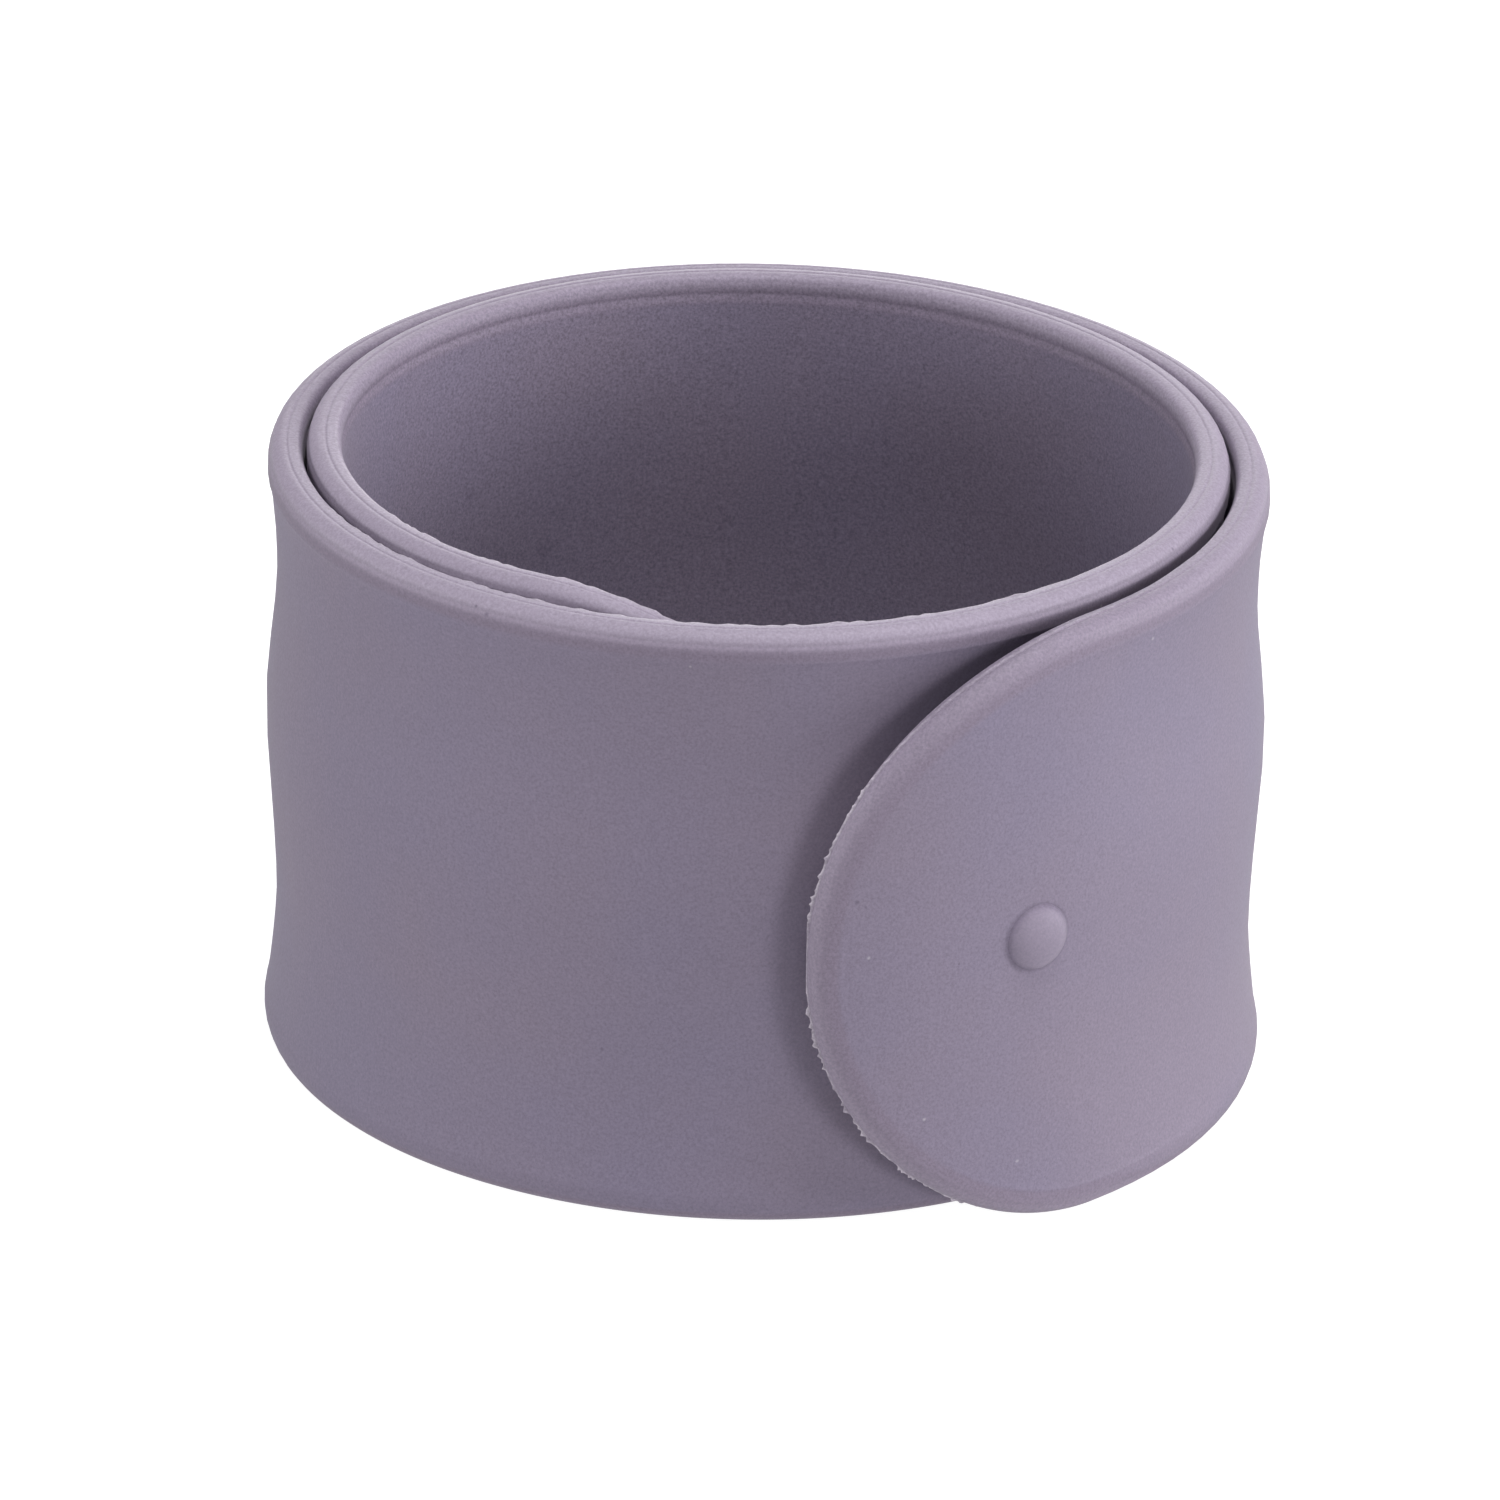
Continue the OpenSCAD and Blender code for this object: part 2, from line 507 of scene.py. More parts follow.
    def stain(
        self, t: NodeTree, flat: bpy.types.NodeSocket, base: bpy.types.NodeSocket, mark: Mark
    ) -> bpy.types.NodeSocket:
        """Lay one fleck over the colour.

        Args:
            t: The material's node tree.
            flat: Socket with the place on the flat band, in metres.
            base: Colour so far.
            mark: The fleck.

        Returns:
            The colour with the fleck in it.
        """
        wobble = t.add("ShaderNodeTexNoise", {"Vector": flat}, in_Scale=self.ragged_scale, in_Detail=1.0)
        away = t.away(flat, (mark.s * MM, mark.w * MM, 0.0))
        size = mark.size * MM
        rough = t.add(
            "ShaderNodeMath", {0: wobble.outputs["Fac"], 2: away}, operation="MULTIPLY_ADD",
            in_1=size * self.ragged,
        ).outputs[0]
        low, high = self.mark_fade
        share = t.ramp(rough, (size * low, size * high), mark.strength, 0.0)
        return t.tint(base, share, self.grime_and_shade if mark.dark else self.lint)

    def paint_stud_light_and_shade(
        self, t: NodeTree, flat: bpy.types.NodeSocket, base: bpy.types.NodeSocket
    ) -> bpy.types.NodeSocket:
        """Paint a highlight over the stud's top and a fine line of shade round its foot.

        Args:
            t: The material's node tree.
            flat: Socket with the place on the flat band, in metres.
            base: Colour so far.

        Returns:
            The colour with the stud in it.
        """
        ring = t.away(flat, (self.stud_s * MM, 0.0, 0.0))
        low, high = self.stud_fade
        # Painted highlight: the stud's top is painted paler
        base = t.tint(base, t.ramp(ring, (low * MM, high * MM), self.stud_share, 0.0), self.rim)
        # Painted shade: a fine dark line round the stud's foot, where the dome meets the tongue
        foot = (self.stud_w / 2 + self.foot_off) * MM
        off = t.add("ShaderNodeMath", {0: ring}, operation="SUBTRACT", in_1=foot)
        off = t.add("ShaderNodeMath", {0: off.outputs[0]}, operation="ABSOLUTE")
        low, high = self.foot_fade
        return t.tint(
            base, t.ramp(off.outputs[0], (low * MM, high * MM), self.stud_share, 0.0), self.grime_and_shade
        )


@dataclass(frozen=True)
class SpringSteel:
    """Cold-rolled carbon spring steel, bright and faintly drawn along its length."""

    name: str = "cold_rolled_spring_steel"
    colour: str = "#B9BBBE"
    smooth: float = 0.24
    rough: float = 0.5
    # Rolling lines 0.2 mm apart run along the strip, so they are stacked in height
    lines: tuple[float, float, float] = (20.0, 20.0, 5000.0)

    def build(self) -> bpy.types.Material:
        """Make the material.

        Returns:
            The node material.
        """
        material, t = blank_material(self.name)
        place = t.add("ShaderNodeTexCoord").outputs["Object"]
        wide = t.add("ShaderNodeMapping", {"Vector": place}, in_Scale=self.lines)
        lines = t.add(
            "ShaderNodeTexNoise", {"Vector": wide.outputs["Vector"]}, in_Scale=1.0, in_Detail=2.0
        ).outputs["Fac"]
        shader = t.add(
            "ShaderNodeBsdfPrincipled",
            {"Roughness": t.ramp(lines, (0.0, 1.0), self.smooth, self.rough)},
            in_Base_Color=linear(self.colour), in_Metallic=1.0,
        )
        t.add("ShaderNodeOutputMaterial", {"Surface": shader.outputs["BSDF"]})
        return material


@dataclass(frozen=True)
class StudioSweep:
    """Opal acrylic sheet lit from below, so that it reads as plain white with only a faint shadow."""

    name: str = "opal_acrylic_table"
    colour: str = "#8A8A8A"
    roughness: float = 0.7
    # Light that the camera sees, and light that falls on the bracelet
    glow: float = 0.95
    cast: float = 0.42
    # Share of that light inside the coil, and the distances in metres over which it grows to all
    inner_share: float = 0.65
    inner_edge: tuple[float, float] = (0.012, 0.019)

    def build(self) -> bpy.types.Material:
        """Make the material.

        Returns:
            The node material.
        """
        material, t = blank_material(self.name)
        # The table shows white but lights the bracelet less than it shows
        seen = t.add("ShaderNodeLightPath").outputs["Is Camera Ray"]
        # The patch inside the coil is shaded from its lamp, and lights the bracelet less still
        place = t.add("ShaderNodeTexCoord").outputs["Object"]
        away = t.add("ShaderNodeVectorMath", {0: place}, operation="LENGTH").outputs["Value"]
        reach = t.ramp(away, self.inner_edge, self.cast * self.inner_share, self.cast)
        shader = t.add(
            "ShaderNodeBsdfPrincipled", {"Emission Strength": t.ramp(seen, (0.0, 1.0), reach, self.glow)},
            in_Base_Color=linear(self.colour), in_Roughness=self.roughness, in_Emission_Color=WHITE,
        )
        t.add("ShaderNodeOutputMaterial", {"Surface": shader.outputs["BSDF"]})
        return material


@dataclass
class SiliconeBand:
    """The silicone sleeve, in millimetres: its section, its round ends, its edge and the stud on its
    tongue. A place on the flat band is s along it from the outer tip, and w over its middle."""

    coil: Coil
    # Share of the thickness on the inner side of the parting line, and the roundings beside it
    parting: float = 0.4
    outer_round: float = 1.1
    inner_round: float = 0.6
    # Fullness of the rim's two quarter rounds: 2 is an ellipse, more is squarer
    fullness: float = 2.6
    # Share by which the inner turn loses its outer rounding, pressed against the outer at the back
    pressed: float = 0.55
    pressed_at: float = 174.0
    pressed_over: float = 26.0
    trough_depth: float = 0.4
    plain_end: float = 9.0
    # Columns: share of the width from the lower edge, height over the troughs
    relief: tuple[tuple[float, float], ...] = (
        (0, 1), (0.04, 1), (0.08, 0.62), (0.14, 0.3), (0.19, 0.08), (0.236, 0), (0.3, 0.12), (0.38, 0.4),
        (0.47, 0.75), (0.556, 1), (0.64, 0.68), (0.72, 0.22), (0.79, 0), (0.86, 0.2), (0.92, 0.55),
        (0.96, 1), (1, 1),
    )
    # Columns: share of the width from the lower edge, outward bow of the whole wall
    bow: tuple[tuple[float, float], ...] = (
        (0, 1.3), (0.05, 1.15), (0.12, 0.5), (0.236, 0), (0.38, 0.3), (0.556, 1), (0.7, 0.25), (0.79, 0),
        (1, 0),
    )
    wall_bow: float = 0.08
    # Turns of the rim's rounding, in degrees from its crest, at which it has a row of points
    rim_turns: tuple[float, ...] = (
        0, 0.5, 1.2, 2.1, 3.1, 4.3, 6, 8.5, 12.5, 18, 26, 36, 45, 51, 55, 59, 62, 65, 68, 72, 77, 83, 90,
    )
    # Rows of points past the rounding, by distance in from the edge of a band of full width
    outer_rows: tuple[float, ...] = (
        1.14, 1.18, 1.23, 1.28, 1.34, 1.42, 1.55, 1.75, 2.1, 2.7, 3.5, 4.5, 5.6, 7.0, 8.6, 10.4, 12.5,
    )
    inner_rows: tuple[float, ...] = (
        0.65, 0.7, 0.74, 0.79, 0.84, 0.9, 0.98, 1.06, 1.14, 1.3, 2.0, 4.0, 8.0, 12.5,
    )
    # Cross-sections round the outer and the inner tip: how many, and degrees between them
    outer_tip: tuple[int, float] = (200, 0.45)
    inner_tip: tuple[int, float] = (60, 1.5)
    # Spacing of the other cross-sections: fine where the flash shows at the front, else coarse
    fine: float = 0.24
    coarse: float = 1.2
    shown: tuple[tuple[float, float], ...] = ((95, 130), (203, 220))
    # Step of the inner face down to its lip: its height, its place, and the widths it eases over
    lip_step: float = 0.055
    lip_at: float = 0.78
    lip_over: float = 0.34
    lip_rise: float = 0.3
    # Line scored along the lip's foot: depth, place, width
    lip_line: tuple[float, float, float] = (0.025, 0.74, 0.09)
    # Lines of the rolled bead on the outer face: place, width, height
    bead_lines: tuple[tuple[float, float, float], ...] = (
        (0.5, 0.07, -0.03), (0.68, 0.08, 0.012), (1.2, 0.1, 0.03),
    )
    # Share of those lines that the plain ends have
    plain_bead: float = 0.5
    # Ridge of flash where the two halves of the mould met: height, width, share without its waves
    flash: float = 0.07
    flash_over: float = 0.06
    flash_mean: float = 0.8
    # Columns: waves per millimetre, seed, share of the flash
    flash_waves: tuple[tuple[float, float, float], ...] = ((0.7, 2.0, 2.4), (2.3, 5.0, 3.6))
    # Columns: distance from the outer tip, share of the ridge
    ridge: tuple[tuple[float, float], ...] = (
        (16, 0.3), (88, 0.1), (96, 0.36), (130, 0.36), (136, 0.1), (198, 0.1), (206, 0.4),
    )
    # How far the ridge lies inside the crest past the tongue, and where it gets there
    ridge_in: float = 0.33
    ridge_from: float = 13.0
    ridge_over: float = 6.0
    # Hair groove beside the ridge: depth, place, width
    groove: tuple[float, float, float] = (0.035, 0.12, 0.05)
    # Distance from the parting line up to which the rim grows, and the one given to all other points
    rim_reach: float = 1.0
    off_rim: float = 9.0
    # Ragged teeth on the lower left edge of the tongue: height, reach along the band, least share
    burr: float = 0.14
    burr_end: float = 14.0
    burr_least: float = 0.3
    # Degrees round the tongue at which the teeth begin and end, and over which they fade there
    burr_span: tuple[float, float] = (-78.0, 50.0)
    burr_fade: tuple[float, float] = (25.0, 30.0)
    # Columns: waves per millimetre, seed, share of the teeth
    burr_waves: tuple[tuple[float, float, float], ...] = ((1.7, 3.1, 0.9), (5.3, 8.7, 1.9))
    # Columns: distance from the outer tip, share of white, torn flash
    torn: tuple[tuple[float, float], ...] = (
        (13, 1), (16, 0.25), (88, 0.06), (96, 0.4), (130, 0.4), (136, 0.06), (198, 0.06), (206, 0.4),
    )
    # The tongue's upper edge is cleaner: how far along, from what share of the width, and by how much
    clean_end: float = 16.0
    clean_from: float = 0.28
    clean_over: float = 0.12
    clean_share: float = 0.75
    # Columns: distance from the outer tip, share of the painted highlight on the rim's crest
    crest_highlight: tuple[tuple[float, float], ...] = (
        (14, 0.4), (22, 0.75), (60, 0.75), (84, 0.35), (97, 0.95), (128, 1.0), (142, 0.85), (160, 0.75),
        (194, 0.45), (208, 0.9),
    )
    # Trimmed lower rim: where it starts below the middle and along the band, and how it eases in
    trim_below: float = 8.0
    trim_over: float = 2.0
    trim_from: float = 13.0
    trim_run: float = 5.0
    # What the trimmed rim loses of its bead lines and painted highlight, and how much its border narrows
    trim_bead: float = 0.7
    trim_highlight: float = 0.6
    trim_border: float = 1.4
    # Stud: place, width, height, the powers of its dome, and the rings and sides it is drawn with
    stud_s: float = 9.26
    stud_w: float = 2.7
    stud_h: float = 0.5
    dome: tuple[float, float] = (2.3, 0.68)
    stud_rings: int = 16
    stud_sides: int = 72
    # How far the stud's foot spreads, and the depths to which it is sunk
    foot_out: float = 0.06
    foot_down: tuple[float, float] = (0.02, 0.2)

    def stations(self) -> list[float]:
        """Distances along the band of its cross-sections, closest at the tongue.

        Returns:
            The distances in millimetres, rising from the outer tip.
        """
        r = self.coil.band_w / 2
        near, far = (
            [r * (1 - math.cos(math.radians(b * turn))) for b in range(count)]
            for count, turn in (self.outer_tip, self.inner_tip)
        )
        middle = [r]
        while middle[-1] < self.coil.band_len - r - self.coarse:
            fine = any(low < middle[-1] < high for low, high in self.shown)
            middle.append(middle[-1] + (self.fine if fine else self.coarse))
        return near + middle + [self.coil.band_len - d for d in reversed(far)]

    def loop(self) -> list[tuple[float, Side]]:
        """Places round the section, up the outer face and down the inner one.

        Returns:
            The share of the width from the lower edge, and the face, of each place.
        """
        full = self.coil.band_w
        crest = [1 - math.cos(math.radians(b)) for b in self.rim_turns]
        outer = [self.outer_round * c / full for c in crest] + [d / full for d in self.outer_rows]
        inner = [self.inner_round * c / full for c in crest[1:]] + [d / full for d in self.inner_rows]
        up = outer + [1 - q for q in reversed(outer[:-1])]
        down = [1 - q for q in inner] + list(reversed(inner[:-1]))
        return [(q, Side.OUTER) for q in up] + [(q, Side.INNER) for q in down]

    def half_width(self, s: float) -> float:
        """Half width of the flat band at a distance along it.

        Args:
            s: Distance along the band.

        Returns:
            The half width in millimetres.
        """
        r = self.coil.band_w / 2
        d = min(s, self.coil.band_len - s)
        return r if d >= r else math.sqrt(max(0.0, r * r - (r - d) ** 2))

    def inset(self, s: float, w: float) -> float:
        """Distance in from the outline of the flat band.

        Args:
            s: Distance along the band.
            w: Height over the middle of the band.

        Returns:
            The distance in millimetres.
        """
        r = self.coil.band_w / 2
        d = min(s, self.coil.band_len - s)
        return max(0.0, r - abs(w) if d >= r else r - math.hypot(r - d, w))

    def full(self, x: float) -> float:
        """Height of the rim's quarter round, from 0 at its crest to 1 where it meets the face."""
        return max(0.0, 1 - (1 - x) ** self.fullness) ** (1 / self.fullness)

    def rounding(self, s: float, side: Side) -> float:
        """Width of the rim's rounding: narrower where the inner turn is pressed against the outer.

        Args:
            s: Distance along the band.
            side: Which half of the rim.

        Returns:
            The width in millimetres.
        """
        if side is Side.INNER:
            return self.inner_round
        return self.outer_round * (1 - self.pressed * bell(s, self.pressed_at, self.pressed_over))

    def lean_back(self, s: float, w: float, side: Side) -> float:
        """Offset of a face from the middle of the wall.

        Args:
            s: Distance along the band.
            w: Height over the middle of the band.
            side: Which face.

        Returns:
            The offset outwards in millimetres.
        """
        t = self.coil.rim_t
        e = self.inset(s, w)
        share = self.parting if side is Side.INNER else 1 - self.parting
        drop = share * t * (1 - self.full(min(1.0, e / self.rounding(s, side))))
        d = min(s, self.coil.band_len - s)
        formed = ease((d - self.plain_end) / self.plain_end)
        bow = self.wall_bow * formed * lookup(w / self.coil.band_w + 0.5, self.bow)
        if side is Side.INNER:
            step = self.lip_step * (1 - ease((e - self.lip_at) / self.lip_over)) * ease(e / self.lip_rise)
            depth, at, wide = self.lip_line
            return -t / 2 + bow + drop + step + depth * bell(e, at, wide)
        waist = self.trough_depth * formed
        n = t / 2 + bow - drop - waist * (1 - lookup(w / self.coil.band_w + 0.5, self.relief))
        bead = self.plain_bead + (1 - self.plain_bead) * formed
        bead *= 1 - self.trim_bead * self.lower(s, w)
        return n + bead * sum(h * bell(e, at, wide) for at, wide, h in self.bead_lines)

    def from_seam(self, s: float, w: float, side: Side) -> float:
        """Distance round the rim from the parting line, positive on the outer half.

        Args:
            s: Distance along the band.
            w: Height over the middle of the band.
            side: Which half of the rim.

        Returns:
            The distance in millimetres, far more past the rim.
        """
        share = self.parting if side is Side.INNER else 1 - self.parting
        x = min(1.0, self.inset(s, w) / self.rounding(s, side))
        return side.value * (share * self.coil.rim_t * self.full(x) + self.off_rim * (x >= 1))

    def growth(self, s: float, w: float, side: Side) -> float:
        """Outward growth of the rim: the flash along the parting line and the groove beside it.

        Args:
            s: Distance along the band.
            w: Height over the middle of the band.
            side: Which half of the rim.

        Returns:
            The growth away from the middle of the band, in millimetres.
        """
        away = self.from_seam(s, w, side)
        if abs(away) > self.rim_reach:
            return 0.0
        swell = self.flash_mean
        for rate, seed, height in self.flash_waves:
            swell += height * noise.noise(Vector((s * rate, w * rate, seed)))
        flash = self.flash * max(0.0, swell) * (1 - self.lower(s, w))
        ridge = flash * lookup(s, self.ridge) + self.burr_at(s, w)
        depth, at, wide = self.groove
        return ridge * bell(away - self.ridge_at(s), 0, self.flash_over) - depth * bell(away, at, wide)

    def lower(self, s: float, w: float) -> float:
        """Share of the trimmed lower rim, whose flash is gone and whose border is narrow and faint."""
        return ease((-w - self.trim_below) / self.trim_over) * ease((s - self.trim_from) / self.trim_run)

    def ridge_at(self, s: float) -> float:
        """Place of the flash round the rim: on its crest at the tongue, and inside it elsewhere."""
        return -self.ridge_in * ease((s - self.ridge_from) / self.ridge_over)

    def torn_at(self, s: float, w: float) -> float:
        """Share of white, torn flash left along the rim, little of it on the tongue's upper edge.

        Args:
            s: Distance along the band.
            w: Height over the middle of the band.

        Returns:
            The share, from 0 to 1.
        """
        upper = 0.0
        if s < self.clean_end:
            upper = ease((w / self.coil.band_w - self.clean_from) / self.clean_over)
        return lookup(s, self.torn) * (1 - self.clean_share * upper)

    def burr_at(self, s: float, w: float) -> float:
        """Height of the ragged teeth that torn flash left on the lower left edge of the tongue.

        Args:
            s: Distance along the band.
            w: Height over the middle of the band.

        Returns:
            The height in millimetres.
        """
        if s > self.burr_end:
            return 0.0
        turn = math.degrees(math.atan2(w, self.coil.band_w / 2 - s))
        begin, end = self.burr_span
        strength = ease((end - turn) / self.burr_fade[1]) * ease((turn - begin) / self.burr_fade[0])
        arc = math.radians(turn) * self.coil.band_w / 2
        teeth = 0.0
        for rate, seed, height in self.burr_waves:
            teeth += height * noise.noise(Vector((arc * rate, seed, 0.0)))
        return self.burr * strength * (self.burr_least + max(0.0, teeth))

    def build(self) -> bpy.types.Object:
        """Model the band as a sleeve: a grid wound on the coil, welded along its seam and tips.

        Returns:
            The band's object.
        """
        rings = self.stations()
        loop = self.loop()
        nx, ny = len(rings) - 1, len(loop)
        r = self.coil.band_w / 2
        bm = bmesh.new()
        bmesh.ops.create_grid(bm, x_segments=nx, y_segments=ny, size=0.5)
        place = bm.verts.layers.float_vector.new("flat_mm")
        for v in bm.verts:
            s = rings[round((v.co.x + 0.5) * nx)]
            q, side = loop[round((v.co.y + 0.5) * ny) % ny]
            w = self.half_width(s) * (2 * q - 1)
            along = s - r if s < r else max(0.0, s - self.coil.band_len + r)
            out = Vector((along, w)).normalized() * self.growth(s, w, side)
            v[place] = (s, w, self.from_seam(s, w, side) - self.ridge_at(s))
            v.co = self.coil.spot(s + out.x, w + out.y, self.lean_back(s, w, side))
        bmesh.ops.remove_doubles(bm, verts=bm.verts, dist=MERGE)
        self.add_stud(bm, place)
        bmesh.ops.recalc_face_normals(bm, faces=bm.faces)
        return self.finish(bm)

    def add_stud(self, bm: bmesh.types.BMesh, place: bmesh.types.BMLayerItem) -> None:
        """Round a grid into the stud's dome and stand it on the tongue.

        Args:
            bm: The band's mesh, which the stud joins.
            place: Layer with each point's place on the flat band.
        """
        a, h = self.stud_w / 2, self.stud_h
        wide, tall = self.dome
        turns = [math.radians(90 * k / self.stud_rings) for k in range(self.stud_rings + 1)]
        profile = [(a * math.sin(b), h * max(0.0, 1 - math.sin(b) ** wide) ** tall) for b in turns]
        profile += [(a + self.foot_out, -down) for down in self.foot_down]
        nx, ny = self.stud_sides, len(profile) - 1
        centre = self.coil.spot(self.stud_s, 0, self.coil.rim_t / 2)
        out = (self.coil.spot(self.stud_s, 0, self.coil.rim_t / 2 + 1) - centre).normalized()
        ahead, behind = (self.coil.spot(self.stud_s + d, 0, 0) for d in (0.5, -0.5))
        along = (ahead - behind).normalized()
        along = (along - out * along.dot(out)).normalized()
        up = out.cross(along)
        dome = bmesh.ops.create_grid(bm, x_segments=nx, y_segments=ny, size=0.5)["verts"]
        for v in dome:
            turn = math.tau * (round((v.co.x + 0.5) * nx) % nx) / nx
            reach, rise = profile[round((v.co.y + 0.5) * ny)]
            x, y = reach * math.cos(turn), reach * math.sin(turn)
            v[place] = (self.stud_s + x, y * (1 if up.z > 0 else -1), self.off_rim)
            v.co = centre + (along * x + up * y + out * rise) * MM
        bmesh.ops.remove_doubles(bm, verts=dome, dist=MERGE)

    def finish(self, bm: bmesh.types.BMesh) -> bpy.types.Object:
        """Turn the mesh into an object with its flat map and the layers that its material reads.

        Args:
            bm: The finished mesh, which is freed.

        Returns:
            The object, smooth shaded.
        """
        place = bm.verts.layers.float_vector["flat_mm"]
        edge = bm.verts.layers.float.new("edge_mm")
        seam = bm.verts.layers.float.new("seam_mm")
        torn = bm.verts.layers.float.new("torn_share")
        crest_highlight = bm.verts.layers.float.new("crest_highlight_share")
        uv = bm.loops.layers.uv.new("flat")
        for v in bm.verts:
            s, w, away = v[place]
            trimmed = self.lower(s, w)
            v[edge] = self.inset(s, w) * (1 + self.trim_border * trimmed)
            v[seam] = away
            v[torn] = self.torn_at(s, w)
            # Share of the painted highlight on the rim's crest, less on the trimmed lower rim
            v[crest_highlight] = lookup(s, self.crest_highlight) * (1 - self.trim_highlight * trimmed)
        for face in bm.faces:
            face.smooth = True
            for corner in face.loops:
                corner[uv].uv = (corner.vert[place].x * MM, corner.vert[place].y * MM)
        mesh = bpy.data.meshes.new("silicone_sleeve")
        bm.to_mesh(mesh)
        bm.free()
        obj = bpy.data.objects.new("silicone_sleeve", mesh)
        bpy.context.scene.collection.objects.link(obj)
        return obj

    def dress(self, obj: bpy.types.Object) -> None:
        """Give the band its silicone, hang it on the root body and hide the solid band.

        Args:
            obj: The band's object.
        """
        marks = (
            Mark(1.8, 2.8, 0.17, True), Mark(2.15, 2.55, 0.1, True), Mark(5.9, -0.4, 0.08, True),
            Mark(2.3, 0.4, 0.12, False), Mark(4.6, -6.8, 0.11, False), Mark(8.6, -9.4, 0.12, False),
            Mark(15.0, 10.9, 0.12, False), Mark(108.1, 11.9, 0.15, True), Mark(107.6, 12.1, 0.1, True),
            Mark(116.3, 11.1, 0.1, False), Mark(188.6, 4.7, 0.6, True, 0.22),
            Mark(184.6, 1.4, 0.75, True, 0.28), Mark(189.1, 11.1, 0.16, True),
            Mark(113.0, -5.6, 0.12, True), Mark(138.4, 11.7, 0.1, True), Mark(138.1, 11.95, 0.08, True),
            Mark(137.9, 12.2, 0.1, True), Mark(133.1, 11.5, 0.1, False),
        )
        silicone = MouldedSilicone(marks=marks, stud_s=self.stud_s, stud_w=self.stud_w)
        obj.data.materials.append(silicone.build())
        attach(obj, "root")
        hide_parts("silicone_band")


@dataclass
class SpringStrip:
    """The sealed steel strip, which stays as the solid parts have it."""

    finish: SpringSteel = SpringSteel()

    def dress(self, obj: bpy.types.Object) -> None:
        """Give the strip its steel.

        Args:
            obj: The strip's object.
        """
        obj.data.materials.clear()
        obj.data.materials.append(self.finish.build())


@dataclass
class Lamp:
    """A round soft box aimed at the bracelet, in degrees, metres and watts. Its bearing is counted from
    the front towards the right."""

    name: str
    bearing: float
    elevation: float
    power: float
    width: float = 0.45
    distance: float = 0.8
    aim: tuple[float, float, float] = (0.0, 0.0, 0.012)
    colour: str = "#FFFFFF"

    def build(self) -> bpy.types.Object:
        """Hang the lamp and point it at the bracelet.

        Returns:
            The lamp's object.
        """
        data = bpy.data.lights.new(self.name, "AREA")
        data.shape = "DISK"
        data.size = self.width
        data.energy = self.power
        data.color = linear(self.colour)[:3]
        obj = bpy.data.objects.new(self.name, data)
        side, rise = math.radians(self.bearing), math.radians(self.elevation)
        out = Vector((math.cos(rise) * math.sin(side), -math.cos(rise) * math.cos(side), math.sin(rise)))
        obj.location = Vector(self.aim) + out * self.distance
        obj.rotation_euler = out.to_track_quat("Z", "Y").to_euler()
        bpy.context.scene.collection.objects.link(obj)
        return obj


@dataclass
class Studio:
    """A light table in a white studio: soft boxes all round, the strongest on the right and overhead."""

    # Half the floor's side, in metres
    floor_half: float = 3.0
    # Light of the walls that the camera sees, and light that falls on the bracelet
    backdrop: float = 1.0
    surround: float = 0.03
    lamps: tuple[Lamp, ...] = (
        Lamp("overhead_soft_box", 50, 82, 4.8),
        Lamp("key_soft_box", 90, 12, 3.9),
        Lamp("front_right_soft_box", 32, 12, 1.34, 0.25),
        Lamp("front_left_soft_box", 315, 12, 0.88),
        Lamp("left_soft_box", 264, 12, 2.1),
        Lamp("back_soft_box", 180, 12, 2.3),
    )

    def build(self) -> None:
        """Lay the floor and set the lights."""
        bm = bmesh.new()
        bmesh.ops.create_grid(bm, x_segments=1, y_segments=1, size=self.floor_half)
        mesh = bpy.data.meshes.new("studio_floor")
        bm.to_mesh(mesh)
        bm.free()
        floor = bpy.data.objects.new("studio_floor", mesh)
        bpy.context.scene.collection.objects.link(floor)
        mesh.materials.append(StudioSweep().build())
        for lamp in self.lamps:
            lamp.build()
        world = bpy.data.worlds.new("light_tent")
        bpy.context.scene.world = world
        world.use_nodes = True
        world.node_tree.nodes.clear()
        t = NodeTree(world.node_tree)
        # The far walls show white but light the bracelet little
        seen = t.add("ShaderNodeLightPath").outputs["Is Camera Ray"]
        strength = t.ramp(seen, (0.0, 1.0), self.surround, self.backdrop)
        sky = t.add("ShaderNodeBackground", {"Strength": strength}, in_Color=WHITE)
        t.add("ShaderNodeOutputWorld", {"Surface": sky.outputs["Background"]})
        view = bpy.context.scene.view_settings
        view.view_transform = "Standard"
        view.look = "None"


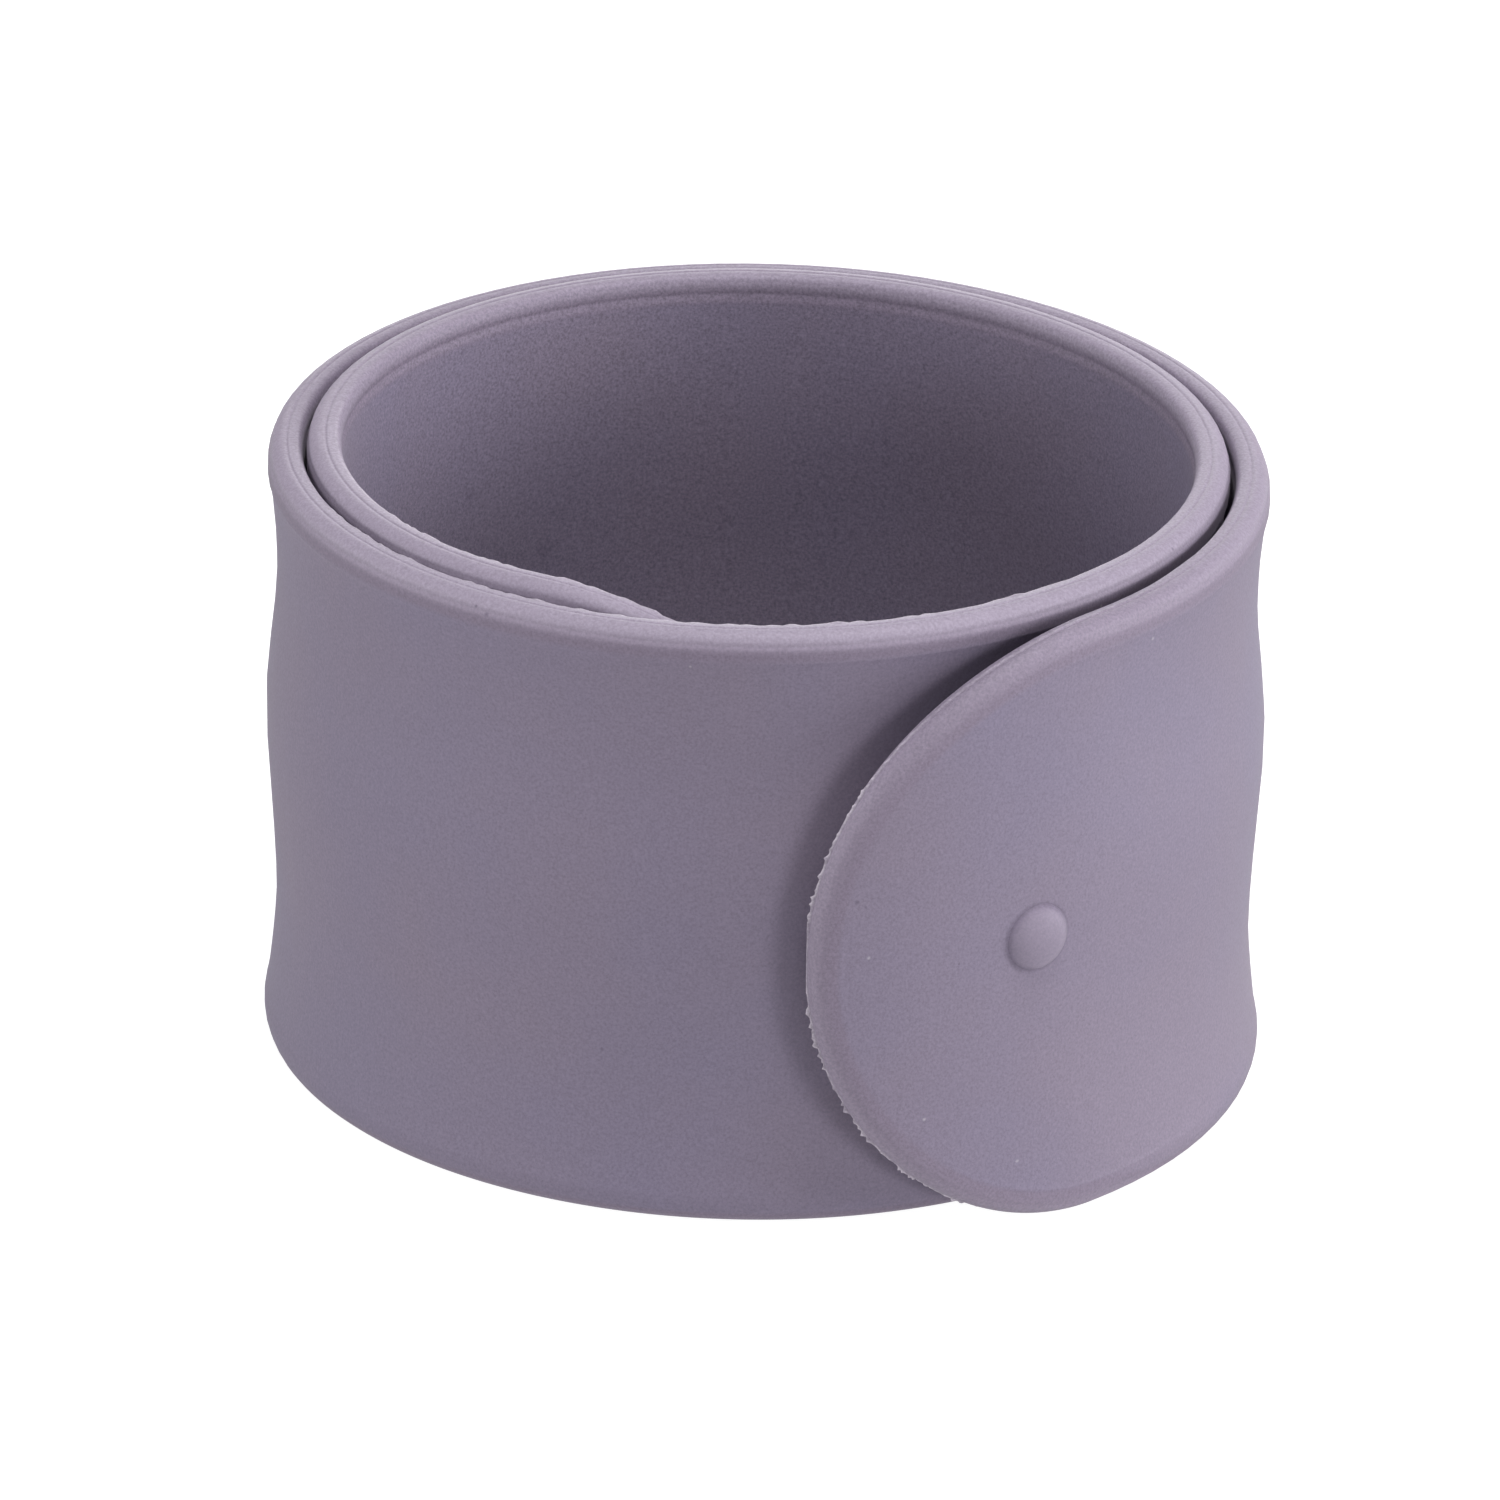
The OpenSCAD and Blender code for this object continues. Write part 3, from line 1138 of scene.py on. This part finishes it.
@dataclass(frozen=True)
class PhotoCamera:
    """The photograph's long lens, in millimetres, degrees and pixels of a square frame."""

    elevation: float = 23.68
    roll: float = 0.864
    distance: float = 638.0
    px_per_mm: float = 25.134
    centre_px: tuple[float, float] = (757.87, 730.83)
    frame_px: int = 1500
    sensor: float = 36.0
    # Nearest and farthest distance shown, in metres
    clip: tuple[float, float] = (0.01, 20.0)

    def build(self, coil: Coil) -> bpy.types.Object:
        """Set the camera before the coil.

        Args:
            coil: The coil, whose lean the camera shares.

        Returns:
            The camera's object.
        """
        el, ro = math.radians(self.elevation), math.radians(self.roll)
        look = Vector((0, math.cos(el), -math.sin(el)))
        up = Vector((0, math.sin(el), math.cos(el)))
        right = Vector((1, 0, 0))
        x = coil.lean @ (right * math.cos(ro) + up * math.sin(ro))
        y = coil.lean @ (up * math.cos(ro) - right * math.sin(ro))
        z = coil.lean @ (-look)
        eye = Vector((0, 0, coil.height(360))) - look * self.distance
        eye = (coil.lean @ eye + Vector(coil.shift)) * MM
        data = bpy.data.cameras.new("photo_camera")
        data.sensor_width = self.sensor
        data.lens = self.px_per_mm * self.distance / self.frame_px * self.sensor
        data.shift_x = (self.frame_px / 2 - self.centre_px[0]) / self.frame_px
        data.shift_y = (self.centre_px[1] - self.frame_px / 2) / self.frame_px
        data.clip_start, data.clip_end = self.clip
        obj = bpy.data.objects.new("photo_camera", data)
        obj.matrix_world = Matrix((
            (x.x, y.x, z.x, eye.x), (x.y, y.y, z.y, eye.y), (x.z, y.z, z.z, eye.z), (0, 0, 0, 1)
        ))
        bpy.context.scene.collection.objects.link(obj)
        bpy.context.scene.camera = obj
        return obj


def main() -> None:
    """Load the solids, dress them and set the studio."""
    logging.basicConfig(level=logging.INFO, format="%(message)s")
    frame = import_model()
    coil = Coil()
    PhotoCamera().build(coil)
    band = SiliconeBand(coil)
    sleeve = band.build()
    band.dress(sleeve)
    LOG.info("silicone_sleeve: %d faces", len(sleeve.data.polygons))
    strip = frame["nodes"]["spring_strip"]
    SpringStrip().dress(strip)
    LOG.info("spring_strip: %d faces", len(strip.data.polygons))
    Studio().build()


if __name__ == "__main__":
    main()
